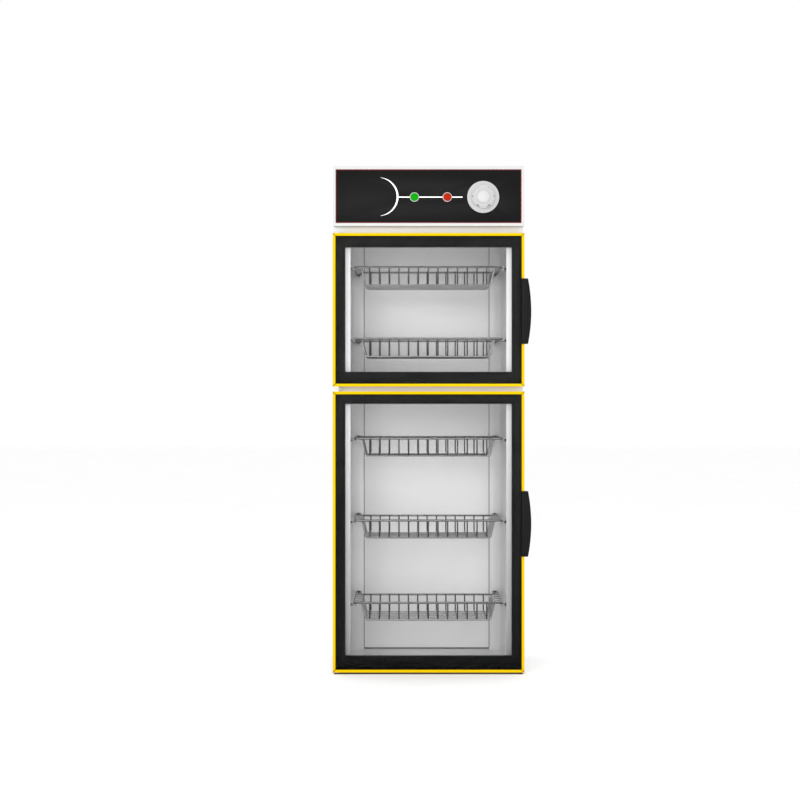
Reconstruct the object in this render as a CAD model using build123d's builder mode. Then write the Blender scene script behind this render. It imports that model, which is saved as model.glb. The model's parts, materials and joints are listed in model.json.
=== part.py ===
from build123d import *
import math
import os

# Two-door dish sterilizer cabinet. Millimetres. The origin is the centre of the base plate's
# underside, +X is to the right as one faces the doors, the doors face -Y and +Z is up.

# ---------------------------------------------------------------- outer sizes
door_front = -240.0          # y of the doors' front faces
body_back = 240.0            # y of the back cover's outer face
sheet = 1.2                  # outer casing sheet
body_inset = 3.0             # from a door's edge in to the casing's side
base_inset = 5.0             # from a door's edge in to the base plate's
base_thickness = 4.0
base_setback = 2.0           # base plate behind the door front, and before the back cover's face

# ---------------------------------------------------------------- doors
door_width = 600.0
door_thickness = 28.0
door_gap = 5.0               # from a door's back to the face frame
lower_door_bottom = 5.6
lower_door_height = 879.2
door_spacing = 15.7          # strip of the cabinet left bare between the doors
upper_door_height = 480.0
trim_wall = 1.6
trim_lip = 8.6               # yellow edge as seen from the front
trim_back_lip = 22.0
mitre_gap = 0.3
glass_thickness = 4.0
glass_clearance = 0.2
window_inset = 39.0          # from a door's edge to its window
upper_border = (37.5, 35.0)  # black border under and over the upper window
lower_border = (42.6, 30.4)
gasket_width = 12.0
gasket_inset_x = 17.0
gasket_inset_z = 8.0
gasket_gap = 0.3             # from the gasket to the face frame, just before it touches

# ---------------------------------------------------------------- hinges
pivot_inset = 11.0           # from a door's left edge to its pin
pivot_depth = 12.0           # from a door's front face to its pin
pin_radius = 4.0
pin_clearance = 0.06
pin_reach = 14.0             # length of pin inside a door
bush_half = 6.0              # half the width of the square nylon block round a pin
bush_length = 16.0
bush_head_half = 8.0
bush_head_gap = 0.3          # under each bush's head
hinge_plate = 2.5
hinge_plate_width = 22.0
hinge_nose_radius = 7.0
hinge_tab_height = 17.0
slot_clearance = 0.5
top_bush_head = 1.8

# ---------------------------------------------------------------- handles
handle_length = 205.0
handle_lap = 11.0            # how far it covers the door's edge, and stands out at its ends
handle_bulge = 10.0          # more than that at its middle
handle_plate = 7.0
handle_leg = 4.0
handle_leg_depth = 26.0
handle_lip = 4.0
handle_lip_depth = 8.0
handle_round = 2.5
upper_handle_height = 235.5  # its middle above the door's lower edge
lower_handle_height = 465.2
handle_screw_span = 150.0
screw_head_radius = 3.6
screw_head_height = 2.2
screw_sides = 6

# ---------------------------------------------------------------- face frame and chambers
frame_sheet = 1.5
opening_side_lap = 55.0      # how far a door overlaps its opening at the sides
opening_lap = 24.5           # and at top and bottom
liner_setback = 5.0          # from an opening's side out to the side liner's inner face
liner_sheet = 1.0
liner_back = 215.5           # y of the back liners' front faces
corner_radius = 40.5
lower_setbacks = (10.1, 7.7)   # from an opening down to its floor and up to its ceiling
upper_setbacks = (7.0, 20.0)
back_slot = 7.5              # from the lower floor to the foot of its back liner
warm_air_gap = 6.0           # behind the back liners
insulation_front_gap = 3.5   # room behind the face frame for the hinge plates
insulation_back_gap = 7.0    # room before the back cover for its flanges and screws

# ---------------------------------------------------------------- heater under the lower floor
cover_height = 4.0
cover_gap = 1.5
cover_front = -165.0
well_half = 150.0
well_front = -150.0
well_back = 195.0
heater_diameter = 8.0
heater_half = 90.0
heater_z = 11.0
heater_front = -30.0
clip_width = 12.0
clip_wall = 1.5
clip_foot = 8.0

# ---------------------------------------------------------------- racks
upper_rack_heights = (134.0, 360.5)           # rail above the upper floor
lower_rack_heights = (196.5, 457.0, 716.5)    # rail above the lower floor
rack_front_inset = 37.0      # from the face frame to the front rail
rack_depth = 271.0           # from the front rail to the back rail
rim_wire = 6.0
front_rail = 6.8
rail_taper = 14.0
rail_end = 4.4
rail_offset = 15.0           # from the side liner to the side rail
ear_radius = 7.5
ear_gap = 3.0                # from an ear to the liner's round corner
back_rail_bend = 8.0
basket_wire = 4.4
wire_pitch = 30.9
cross_count = 5
cross_inset = 12.0
basket_depth = 51.5          # from the rails down to the front-to-back wires
basket_top_inset = 24.0      # from a side rail's middle in to the basket, at its top
basket_bottom_inset = 37.4   # and at its bottom
weld_gap = 0.05
rail_sides = 8               # flats round the rim wires, front rails, studs and heating tube
wire_sides = 6               # flats round the many thinner wires

# ---------------------------------------------------------------- rack studs and pegs
stud_offset = 8.0            # behind the front rail
stud_base_radius = 12.0
stud_flare_radius = 5.6
stud_flare_share = 0.42      # part of the flare's length that its steep part takes
stud_neck_radius = 2.5
stud_head_radius = 4.2
stud_head_length = 3.0
taper_land = 0.05            # straight edge left where a taper starts
seat_gap = 0.3
groove_clearance = 1.0
peg_reach = 9.0              # in front of the ear's wire

# ---------------------------------------------------------------- control head
head_gap = 22.0              # from the upper door to the head
head_height = 187.5
bezel_inset = 1.5            # from a door's edge in to the bezel's side
bezel_setback = 4.0          # behind the door front
bezel_wall = 2.0
bezel_side = 7.5
bezel_edge = 9.75
ledge = 12.0
ledge_thickness = 2.0
fascia_thickness = 2.5
fascia_recess = 1.0
edging_width = 2.4
panel_clearance = 0.3
control_height = 90.9        # lamps and knob above the head's underside
green_lamp_inset = 335.3     # from the panel's right edge
red_lamp_inset = 232.4
knob_inset = 120.1
lamp_ring_radius = 14.8
lamp_lens_radius = 12.6
lamp_ring_height = 2.5
lamp_lens_height = 2.0
lamp_body_radius = 11.0
lamp_body_length = 35.0
lamp_nut_radius = 14.0
lamp_nut_height = 5.0
lamp_clearance = 0.2
timer_size = 58.0
timer_depth = 36.0
timer_spacer = 6.0
timer_spacer_half = 12.0
timer_bush_radius = 5.5
timer_bush_stand = 1.5       # in front of the fascia
shaft_radius = 3.0
shaft_clearance = 0.05
shaft_depth = 22.0
shaft_flat = 0.8
knob_gap = 1.2
skirt_radius = 50.0
skirt_height = 4.0
knob_radius = 36.0
knob_height = 14.0
knob_notches = (             # radius, and the angles round the knob
    (3.5, (0, 180)),
    (6.0, (240, 300)),
)
knob_ring_radius = 25.0
knob_ring_height = 1.5
cap_radius = 19.5
cap_height = 1.2
knob_recess_radius = 8.0
knob_recess_depth = 2.0
knob_bore_depth = 13.0

# ---------------------------------------------------------------- inside the head and at the back
deck_sheet = 1.5
ozone_size = (120.0, 80.0, 46.0)
ozone_place = (-150.0, 60.0)
ozone_nozzle_radius = 5.0
ozone_nozzle_length = 14.0
terminal_size = (96.0, 26.0, 20.0)
terminal_place = (60.0, 110.0)
terminal_poles = 6
thermostat_size = (46.0, 40.0, 34.0)
thermostat_place = (190.0, 40.0)
thermostat_stub = 8.0
vent_rows = 2
vent_columns = 9
vent_slot = (6.0, 40.0)
vent_pitch = (20.0, 56.0)
vent_drop = 90.0             # from the top down to the middle of the vents
back_flange = 15.0
back_screw_rows = 5
gland_inset = 77.0           # from the casing's left side
gland_height = 37.5          # above the head's underside
gland_bore = 5.0
gland_radius = 8.0
gland_collar_radius = 12.0
gland_collar = 3.0
gland_nose = 8.0
gland_nut = 4.0

# ---------------------------------------------------------------- places worked out from these
door_half = door_width / 2
body_half = door_half - body_inset
base_half = door_half - base_inset
casing_half = body_half - sheet
door_back = door_front + door_thickness
frame_front = door_back + door_gap
frame_back = frame_front + frame_sheet
back_cover_front = body_back - sheet
lower_door_top = lower_door_bottom + lower_door_height
upper_door_bottom = lower_door_top + door_spacing
upper_door_top = upper_door_bottom + upper_door_height
lower_opening = (lower_door_bottom + opening_lap, lower_door_top - opening_lap)
upper_opening = (upper_door_bottom + opening_lap, upper_door_top - opening_lap)
opening_half = door_half - opening_side_lap
window_half = door_half - window_inset
upper_handle_z = upper_door_bottom + upper_handle_height
lower_handle_z = lower_door_bottom + lower_handle_height
head_bottom = upper_door_top + head_gap
total_height = head_bottom + head_height
liner_half = opening_half + liner_setback
lower_floor_top = lower_opening[0] - lower_setbacks[0]
lower_ceiling = lower_opening[1] + lower_setbacks[1]
upper_floor_top = upper_opening[0] - upper_setbacks[0]
upper_ceiling = upper_opening[1] + upper_setbacks[1]
pivot_x = -door_half + pivot_inset
pivot_y = door_front + pivot_depth
bush_bore = pin_radius + pin_clearance
top_plate_z = upper_door_top + top_bush_head + bush_head_gap
middle_plate_z = lower_door_top + (door_spacing - hinge_plate) / 2
middle_bush_head = (door_spacing - hinge_plate) / 2 - bush_head_gap
bottom_bush_head = lower_door_bottom - base_thickness - bush_head_gap
corner_x = liner_half - corner_radius
corner_y = liner_back - corner_radius
insulation_front = frame_back + insulation_front_gap
insulation_back = body_back - insulation_back_gap
rail_x = liner_half - rail_offset
basket_top_half = rail_x - basket_top_inset
basket_bottom_half = rail_x - basket_bottom_inset
wire_count = 1 + 2 * int(basket_bottom_half / wire_pitch)
front_rail_y = frame_front + rack_front_inset
back_rail_y = front_rail_y + rack_depth
ear_x = rail_x - ear_radius
ear_room = corner_radius - ear_radius - rim_wire / 2 - ear_gap
ear_y = corner_y + math.sqrt(ear_room**2 - (ear_x - corner_x) ** 2)
seat_drop = rim_wire / 2 + stud_neck_radius + seat_gap
rack_levels = [upper_floor_top + h for h in upper_rack_heights]
rack_levels += [lower_floor_top + h for h in lower_rack_heights]
rack_levels.sort(reverse=True)
bezel_front = door_front + bezel_setback
fascia_front = bezel_front + fascia_recess
fascia_back = fascia_front + fascia_thickness
bezel_half = door_half - bezel_inset
panel_half = bezel_half - bezel_side
panel_bottom = head_bottom + bezel_edge
panel_top = total_height - bezel_edge
deck_top = head_bottom
control_z = head_bottom + control_height
green_lamp_x = panel_half - green_lamp_inset
red_lamp_x = panel_half - red_lamp_inset
knob_x = panel_half - knob_inset
vent_z = total_height - vent_drop
gland_x = -body_half + gland_inset
gland_z = head_bottom + gland_height
knob_back = fascia_front - knob_gap

os.makedirs("parts", exist_ok=True)


def finish(piece, node):
    """Label a finished piece and write it under its node's name."""
    piece.part.label = node
    export_step(piece.part, "parts/" + node + ".step")


def front_plane(y):
    """A plane facing the doors' side, at depth y; extrude by a negative amount to go back."""
    return Plane.XZ.offset(-y)


def block(x0, x1, y0, y1, z0, z1, mode=Mode.ADD):
    """A box between two corners."""
    with Locations(((x0 + x1) / 2, (y0 + y1) / 2, (z0 + z1) / 2)):
        Box(x1 - x0, y1 - y0, z1 - z0, mode=mode)


def upright(x, y, z0, z1, radius, mode=Mode.ADD):
    """A round bar or hole along Z."""
    with Locations((x, y, (z0 + z1) / 2)):
        Cylinder(radius, z1 - z0, mode=mode)


def forward(x, z, y0, y1, radius, mode=Mode.ADD):
    """A round bar or hole along Y."""
    with Locations(Location((x, (y0 + y1) / 2, z), (90, 0, 0))):
        Cylinder(radius, y1 - y0, mode=mode)


def flats(radius, sides):
    """Section of a round bar given a few flats, two of them square to the sketch's y."""
    RegularPolygon(radius, sides, major_radius=False, rotation=90 - 180 / sides)


def bent_wire(points, diameter, side, sides):
    """A wire of flats swept along straight runs with mitred bends; side is square to them."""
    points = [Vector(*p) for p in points]
    start = Plane(origin=points[0], x_dir=side, z_dir=points[1] - points[0])
    with BuildPart() as wire:
        with BuildLine() as route:
            Polyline(*points)
        with BuildSketch(start):
            flats(diameter / 2, sides)
        sweep(path=route.wire(), transition=Transition.RIGHT)
    return wire.part


def tapering(x0, radius0, x1, radius1, sides):
    """A bar of flats along X that narrows from radius0 at x0 to radius1 at x1."""
    with BuildPart(mode=Mode.PRIVATE) as bar:
        with BuildSketch(Plane.YZ.offset(x0)):
            flats(radius0, sides)
        extrude(amount=x1 - x0)
        if radius1 < radius0:
            end = bar.faces().sort_by(Axis.X)[-1 if x1 > x0 else 0]
            chamfer(end.edges(), radius0 - radius1, abs(x1 - x0) - taper_land, reference=end)
    return bar.part


# ================================================================ casing

def casing():
    """Base plate, side panels, top and back covers with their screws."""
    with BuildPart() as base_plate:
        block(-base_half, base_half, door_front + base_setback, body_back - base_setback,
              0, base_thickness)
        upright(pivot_x, pivot_y, 0, base_thickness, pin_radius, Mode.SUBTRACT)
    finish(base_plate, "base_plate")

    screw_x = casing_half - back_flange / 2
    screw_pitch = (total_height - 4 * back_flange) / (back_screw_rows - 1)
    screw_places = [
        (side * screw_x, 2 * back_flange + row * screw_pitch)
        for side in (-1, 1) for row in range(back_screw_rows)
    ]

    with BuildPart() as side_panels:
        for side in (-1, 1):
            outer, inner = side * body_half, side * casing_half
            fold = side * (casing_half - back_flange)
            block(min(outer, inner), max(outer, inner), frame_front, back_cover_front,
                  base_thickness, total_height - sheet)
            block(min(fold, inner), max(fold, inner), back_cover_front - sheet,
                  back_cover_front, base_thickness, total_height - sheet)
    finish(side_panels, "side_panels")

    with BuildPart() as top_cover:
        block(-body_half, body_half, frame_front, body_back, total_height - sheet, total_height)
        fillet(top_cover.edges().filter_by(Axis.Z).group_by(Axis.Y)[-1], sheet)
    finish(top_cover, "top_cover")

    with BuildPart() as back_cover:
        block(-body_half, body_half, back_cover_front, body_back,
              base_thickness, total_height - sheet)
        with BuildSketch(front_plane(back_cover_front)):
            with Locations((0, vent_z)):
                with GridLocations(vent_pitch[0], vent_pitch[1], vent_columns, vent_rows):
                    Rectangle(*vent_slot)
        extrude(amount=-sheet, mode=Mode.SUBTRACT)
        forward(gland_x, gland_z, back_cover_front, body_back, gland_radius, Mode.SUBTRACT)
    finish(back_cover, "back_cover")

    with BuildPart() as back_screws:
        with BuildSketch(front_plane(body_back)):
            with Locations(*screw_places):
                flats(screw_head_radius, screw_sides)
        extrude(amount=-screw_head_height)
    finish(back_screws, "back_screws")

    with BuildPart() as cable_gland:
        for start, length, radius, sides in (
            (back_cover_front - gland_nut, gland_nut, gland_collar_radius, 6),
            (body_back, gland_collar, gland_collar_radius, 6),
            (body_back + gland_collar, gland_nose - gland_collar, gland_radius, 12),
        ):
            with BuildSketch(front_plane(start)):
                with Locations((gland_x, gland_z)):
                    flats(radius, sides)
            extrude(amount=-length)
        forward(gland_x, gland_z, back_cover_front, body_back, gland_radius)
        forward(gland_x, gland_z, back_cover_front - gland_nut, body_back + gland_nose,
                gland_bore, Mode.SUBTRACT)
    finish(cable_gland, "cable_gland")


# ================================================================ face frame and hinges

def hinge_outline(depth_end):
    """Plan of a hinge plate: a round nose about the pin, then a straight strap going back."""
    strap_left = pivot_x - hinge_nose_radius + 3
    with Locations((pivot_x, pivot_y)):
        Circle(hinge_nose_radius)
    strap_depth = depth_end - pivot_y
    with Locations((strap_left + hinge_plate_width / 2, pivot_y + strap_depth / 2)):
        Rectangle(hinge_plate_width, strap_depth)


def face_frame_and_hinges():
    """Face frame with the slots that the hinge plates come out of, the plates and their pins."""
    strap_left = pivot_x - hinge_nose_radius + 3
    strap_right = strap_left + hinge_plate_width
    plates = (top_plate_z, middle_plate_z)

    with BuildPart() as face_frame:
        with BuildSketch(front_plane(frame_front)):
            with Locations((0, (base_thickness + head_bottom) / 2)):
                Rectangle(2 * casing_half, head_bottom - base_thickness)
            for bottom, top in (lower_opening, upper_opening):
                with Locations((0, (bottom + top) / 2)):
                    Rectangle(2 * opening_half, top - bottom, mode=Mode.SUBTRACT)
        extrude(amount=-frame_sheet)
        for z in plates:
            block(strap_left - slot_clearance, strap_right + slot_clearance, frame_front,
                  frame_back, z - slot_clearance, z + hinge_plate + slot_clearance, Mode.SUBTRACT)
    finish(face_frame, "face_frame")

    tab_back = frame_back + hinge_plate
    with BuildPart() as hinge_plates:
        for z, below in ((top_plate_z, 0), (middle_plate_z, hinge_tab_height / 2)):
            with BuildSketch(Plane.XY.offset(z)):
                hinge_outline(tab_back)
                with Locations((pivot_x, pivot_y)):
                    Circle(pin_radius, mode=Mode.SUBTRACT)
            extrude(amount=hinge_plate)
            block(strap_left, strap_right, frame_back, tab_back,
                  z - below, z - below + hinge_tab_height)
    finish(hinge_plates, "hinge_plates")

    with BuildPart() as hinge_pins:
        upright(pivot_x, pivot_y, upper_door_top - pin_reach, top_plate_z + hinge_plate, pin_radius)
        upright(pivot_x, pivot_y, lower_door_top - pin_reach, upper_door_bottom + pin_reach,
                pin_radius)
        upright(pivot_x, pivot_y, 0, lower_door_bottom + pin_reach, pin_radius)
    finish(hinge_pins, "hinge_pins")


# ================================================================ chambers

def chamber_plan(front, out):
    """Plan of a chamber, grown by out from the liners' inner faces, with round back corners."""
    back = liner_back + out
    with Locations((0, (front + back) / 2)):
        plan = Rectangle(2 * (liner_half + out), back - front)
    fillet(plan.vertices().group_by(Axis.Y)[-1], corner_radius + out)


def chamber_plate(z0, z1, out):
    """A level plate of a chamber's plan."""
    with BuildSketch(Plane.XY.offset(z0)) as plan:
        chamber_plan(frame_back, out)
    extrude(plan.sketch, amount=z1 - z0)


def side_liner(side, z0, z1):
    """One bent sheet: the side wall and the round back corner."""
    inner, outer = liner_half, liner_half + liner_sheet
    inner_end = corner_radius
    outer_end = corner_radius + liner_sheet
    turn = math.sqrt(0.5)
    with BuildSketch(Plane.XY.offset(z0)) as plan:
        with BuildLine():
            wall = Line((side * inner, corner_y), (side * inner, frame_back))
            lip = Line(wall @ 1, (side * outer, frame_back))
            back = Line(lip @ 1, (side * outer, corner_y))
            round_out = ThreePointArc(
                back @ 1,
                (side * (corner_x + outer_end * turn), corner_y + outer_end * turn),
                (side * corner_x, corner_y + outer_end),
            )
            end = Line(round_out @ 1, (side * corner_x, corner_y + inner_end))
            ThreePointArc(
                end @ 1,
                (side * (corner_x + inner_end * turn), corner_y + inner_end * turn),
                wall @ 0,
            )
        make_face()
    extrude(plan.sketch, amount=z1 - z0)


def chambers():
    """Liners, ceilings, floors and the insulation between them and the casing."""
    spans = ((lower_floor_top, lower_ceiling), (upper_floor_top, upper_ceiling))

    with BuildPart() as side_liners:
        for bottom, top in spans:
            for side in (-1, 1):
                side_liner(side, bottom, top)
    finish(side_liners, "side_liners")

    with BuildPart() as back_liners:
        block(-corner_x, corner_x, liner_back, liner_back + liner_sheet,
              lower_floor_top + back_slot, lower_ceiling)
        block(-corner_x, corner_x, liner_back, liner_back + liner_sheet,
              upper_floor_top, upper_ceiling)
    finish(back_liners, "back_liners")

    with BuildPart() as chamber_ceilings:
        chamber_plate(lower_ceiling, lower_ceiling + liner_sheet, liner_sheet)
        chamber_plate(upper_ceiling, upper_ceiling + liner_sheet, liner_sheet)
    finish(chamber_ceilings, "chamber_ceilings")

    with BuildPart() as chamber_floors:
        chamber_plate(upper_floor_top - liner_sheet, upper_floor_top, liner_sheet)
        chamber_plate(lower_floor_top - liner_sheet, lower_floor_top, liner_sheet)
        block(-well_half, well_half, well_front, well_back,
              lower_floor_top - liner_sheet, lower_floor_top, Mode.SUBTRACT)
    finish(chamber_floors, "chamber_floors")

    insulation_top = head_bottom - deck_sheet
    air_back = liner_back + liner_sheet + warm_air_gap
    with BuildPart() as insulation:
        # the block round both chambers, open to the front
        with BuildSketch(Plane.XY.offset(base_thickness)):
            with Locations((0, (insulation_front + insulation_back) / 2)):
                Rectangle(2 * casing_half, insulation_back - insulation_front)
        extrude(amount=insulation_top - base_thickness)
        for bottom, top in spans:
            with BuildSketch(Plane.XY.offset(bottom - liner_sheet)):
                chamber_plan(insulation_front, liner_sheet)
                with Locations((0, (corner_y + air_back) / 2)):
                    Rectangle(2 * corner_x, air_back - corner_y)
            extrude(amount=top - bottom + 2 * liner_sheet, mode=Mode.SUBTRACT)
        block(-well_half, well_half, well_front, well_back,
              base_thickness, lower_floor_top, Mode.SUBTRACT)
    finish(insulation, "insulation")


# ================================================================ heater

def heater():
    """Heating tube in the well under the lower floor, its clips and the cover over the well."""
    cover_top = lower_floor_top + cover_height
    cover_back = liner_back - cover_gap
    with BuildPart() as heater_cover:
        block(-corner_x, corner_x, cover_front, cover_back, lower_floor_top, cover_top)
        block(-corner_x + liner_sheet, corner_x - liner_sheet, cover_front + liner_sheet,
              cover_back - liner_sheet, lower_floor_top, cover_top - liner_sheet, Mode.SUBTRACT)
        with BuildSketch(Plane.XY.offset(cover_top)):
            with Locations((0, cover_front + 60)):
                with GridLocations(66, 30, 5, 2):
                    Rectangle(44, 5)
        extrude(amount=-liner_sheet, mode=Mode.SUBTRACT)
    finish(heater_cover, "heater_cover")

    leg_back = well_back - 10
    steps = 6
    turn = [
        (heater_half * math.cos(math.pi * i / steps),
         heater_front - heater_half * math.sin(math.pi * i / steps), heater_z)
        for i in range(steps + 1)
    ]
    route = [(heater_half, leg_back, heater_z)] + turn + [(-heater_half, leg_back, heater_z)]
    tube = bent_wire(route, heater_diameter, (0, 0, 1), rail_sides)
    with BuildPart() as heater_tube:
        add(tube)
    finish(heater_tube, "heater_tube")

    saddle = heater_diameter + 2 * clip_wall
    saddle_top = heater_z + heater_diameter / 2 + clip_wall
    with BuildPart() as heater_clips:
        for x in (-heater_half, heater_half):
            for y in (heater_front + 20, leg_back - 20):
                y0, y1 = y - clip_width / 2, y + clip_width / 2
                block(x - saddle / 2, x + saddle / 2, y0, y1, base_thickness, saddle_top)
                block(x - saddle / 2 - clip_foot, x + saddle / 2 + clip_foot, y0, y1,
                      base_thickness, base_thickness + clip_wall)
                block(x - heater_diameter / 2, x + heater_diameter / 2, y0, y1,
                      base_thickness, heater_z + heater_diameter / 2, Mode.SUBTRACT)
    finish(heater_clips, "heater_clips")


# ================================================================ racks

def rim_route(level):
    """The rim wire: a side rail, a hairpin ear, the back rail, and the same mirrored."""
    ear = []
    for degrees in (180, 135, 90, 45, 0):
        angle = math.radians(degrees)
        ear.append((-ear_x + ear_radius * math.cos(angle), ear_y + ear_radius * math.sin(angle)))
    inner_leg = ear_x - ear_radius
    bend = []
    for degrees in (180, 225, 270):
        angle = math.radians(degrees)
        bend.append((-inner_leg + back_rail_bend + back_rail_bend * math.cos(angle),
                     back_rail_y + back_rail_bend + back_rail_bend * math.sin(angle)))
    left = [(-rail_x, front_rail_y)] + ear + bend
    right = [(-x, y) for x, y in reversed(left)]
    return [(x, y, level) for x, y in left + right]


def rack_rim(level):
    """Rim wire with the thicker front rail, whose ends taper to the side rails."""
    rim = bent_wire(rim_route(level), rim_wire, (0, 0, 1), rail_sides)
    place = Location((0, front_rail_y, level))
    taper_x = rail_x - rail_taper
    with BuildPart() as rack:
        add(rim)
        for side in (-1, 1):
            half = tapering(0, front_rail / 2, side * taper_x, front_rail / 2, rail_sides)
            end = tapering(side * taper_x, front_rail / 2, side * rail_x, rail_end / 2, rail_sides)
            add(half.moved(place))
            add(end.moved(place))
    return rack


def rack_basket(level):
    """Thirteen wires bent front to back and the five wires across under them."""
    reach = front_rail / 2 + basket_wire / 2
    front = front_rail_y + reach
    back = back_rail_y - rim_wire / 2 - basket_wire / 2
    bottom = level - basket_depth
    top = level + rim_wire / 2
    long_route = [(0, front, top), (0, front, bottom), (0, back, bottom), (0, back, top)]
    long_wire = bent_wire(long_route, basket_wire, (1, 0, 0), wire_sides)

    under = bottom - basket_wire - weld_gap
    wing = rail_x - rim_wire / 2
    half = [(-wing, level), (-basket_top_half, level), (-basket_bottom_half, under)]
    cross_route = [(x, 0, z) for x, z in half]
    cross_route += [(-x, 0, z) for x, z in reversed(half)]
    cross_wire = bent_wire(cross_route, basket_wire, (0, 1, 0), wire_sides)

    first = front_rail_y + cross_inset
    step = (rack_depth - 2 * cross_inset) / (cross_count - 1)
    with BuildPart() as basket:
        for i in range(wire_count):
            add(long_wire.moved(Location(((i - (wire_count - 1) / 2) * wire_pitch, 0, 0))))
        for i in range(cross_count):
            add(cross_wire.moved(Location((0, first + i * step, 0))))
    return basket


def racks():
    """Five racks, numbered from the top."""
    for number, level in enumerate(rack_levels, 1):
        finish(rack_rim(level), f"rack_{number}_rim")
        finish(rack_basket(level), f"rack_{number}_basket")


def rack_supports():
    """Trumpet studs under the side rails at the front, pegs under the ears at the back."""
    groove_outer = rail_x + rim_wire / 2 + groove_clearance
    groove_inner = rail_x - rim_wire / 2 - groove_clearance
    flare_x = liner_half - (liner_half - groove_outer) * stud_flare_share
    with BuildPart() as rack_studs:
        for side in (-1, 1):
            wall, flare, outer, inner = (side * x for x in (
                liner_half, flare_x, groove_outer, groove_inner))
            head_end = inner - side * stud_head_length
            lengths = (
                tapering(wall, stud_base_radius, flare, stud_flare_radius, rail_sides),
                tapering(flare, stud_flare_radius, outer, stud_neck_radius, rail_sides),
                tapering(outer, stud_neck_radius, inner, stud_neck_radius, rail_sides),
                tapering(inner, stud_head_radius, head_end, stud_head_radius, rail_sides),
            )
            for level in rack_levels:
                place = Location((0, front_rail_y + stud_offset, level - seat_drop))
                for length in lengths:
                    add(length.moved(place))
    finish(rack_studs, "rack_studs")

    # a peg ends on a flat across the round corner, as a chord of it over the peg's width
    lean = math.asin((ear_x - corner_x) / corner_radius)
    chord_radius = math.sqrt(corner_radius**2 - (stud_neck_radius / math.cos(lean)) ** 2)
    peg_front = ear_y + ear_radius - peg_reach
    pegs = []
    for side in (-1, 1):
        with BuildPart() as peg:
            with BuildSketch(front_plane(peg_front)):
                with Locations((side * ear_x, 0)):
                    flats(stud_neck_radius, rail_sides)
            extrude(amount=peg_front - liner_back)
            wall = Plane(origin=(side * (corner_x + chord_radius * math.sin(lean)),
                                 corner_y + chord_radius * math.cos(lean), 0),
                         z_dir=(side * math.sin(lean), math.cos(lean), 0))
            split(bisect_by=wall, keep=Keep.BOTTOM)
        pegs.append(peg.part)
    with BuildPart() as rack_pegs:
        for level in rack_levels:
            for peg in pegs:
                add(peg.moved(Location((0, 0, level - seat_drop))))
    finish(rack_pegs, "rack_pegs")


# ================================================================ doors

def mitred_sides(x0, x1, z0, z1, band, y0, y1):
    """The four sides of a frame as trapezoids, each pair apart by a hair at its mitre."""
    g = mitre_gap
    left = [(x0, z0 + g), (x0, z1 - g), (x0 + band, z1 - band - g), (x0 + band, z0 + band + g)]
    right = [(x0 + x1 - x, z) for x, z in left]
    bottom = [(x0, z0), (x1, z0), (x1 - band, z0 + band), (x0 + band, z0 + band)]
    top = [(x, z0 + z1 - z) for x, z in bottom]
    with BuildSketch(front_plane(y0)) as sides:
        for outline in (left, right, bottom, top):
            Polygon(*outline, align=None)
    extrude(sides.sketch, amount=y0 - y1)


def pivot_block(z0, z1, half, mode=Mode.ADD):
    """A square block about the doors' pins."""
    block(pivot_x - half, pivot_x + half, pivot_y - half, pivot_y + half, z0, z1, mode)


def door(prefix, z0, z1, border, handle_z, bottom_head, top_head):
    """A glass door: trim, glass, inner frame, gasket, bushes, handle and its screws."""
    x0, x1 = -door_half, door_half
    lip_back = door_front + trim_wall
    glass_back = lip_back + glass_thickness
    back_lip_front = door_back - trim_wall
    screws = [handle_z - handle_screw_span / 2, handle_z + handle_screw_span / 2]
    screw_y = door_front + door_thickness / 2

    with BuildPart() as trim:
        mitred_sides(x0, x1, z0, z1, trim_lip, door_front, lip_back)
        mitred_sides(x0, x1, z0, z1, trim_wall, door_front, door_back)
        mitred_sides(x0, x1, z0, z1, trim_back_lip, back_lip_front, door_back)
        pivot_block(z0, z0 + trim_wall, bush_half, Mode.SUBTRACT)
        pivot_block(z1 - trim_wall, z1, bush_half, Mode.SUBTRACT)
    finish(trim, prefix + "_door_trim")

    rim = trim_wall + glass_clearance
    with BuildPart() as glass:
        block(x0 + rim, x1 - rim, lip_back, glass_back, z0 + rim, z1 - rim)
    finish(glass, prefix + "_door_glass")

    with BuildPart() as inner_frame:
        block(x0 + rim, x1 - rim, glass_back, back_lip_front, z0 + rim, z1 - rim)
        block(-window_half, window_half, glass_back, back_lip_front,
              z0 + trim_lip + border[0], z1 - trim_lip - border[1], Mode.SUBTRACT)
        pivot_block(z0, z0 + bush_length, bush_half, Mode.SUBTRACT)
        pivot_block(z1 - bush_length, z1, bush_half, Mode.SUBTRACT)
    finish(inner_frame, prefix + "_door_inner_frame")

    with BuildPart() as gasket:
        mitred_sides(x0 + gasket_inset_x, x1 - gasket_inset_x, z0 + gasket_inset_z,
                     z1 - gasket_inset_z, gasket_width, door_back, frame_front - gasket_gap)
    finish(gasket, prefix + "_door_gasket")

    with BuildPart() as bushes:
        pivot_block(z0, z0 + bush_length, bush_half)
        pivot_block(z0 - bottom_head, z0, bush_head_half)
        pivot_block(z1 - bush_length, z1, bush_half)
        pivot_block(z1, z1 + top_head, bush_head_half)
        upright(pivot_x, pivot_y, z0 - bottom_head, z1 + top_head, bush_bore, Mode.SUBTRACT)
    finish(bushes, prefix + "_door_bushes")

    finish(handle(handle_z), prefix + "_door_handle")

    with BuildPart() as handle_screws:
        with BuildSketch(Plane.YZ.offset(door_half + handle_leg)):
            with Locations(*[(screw_y, z) for z in screws]):
                flats(screw_head_radius, screw_sides)
        extrude(amount=screw_head_height)
    finish(handle_screws, prefix + "_handle_screws")


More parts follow.
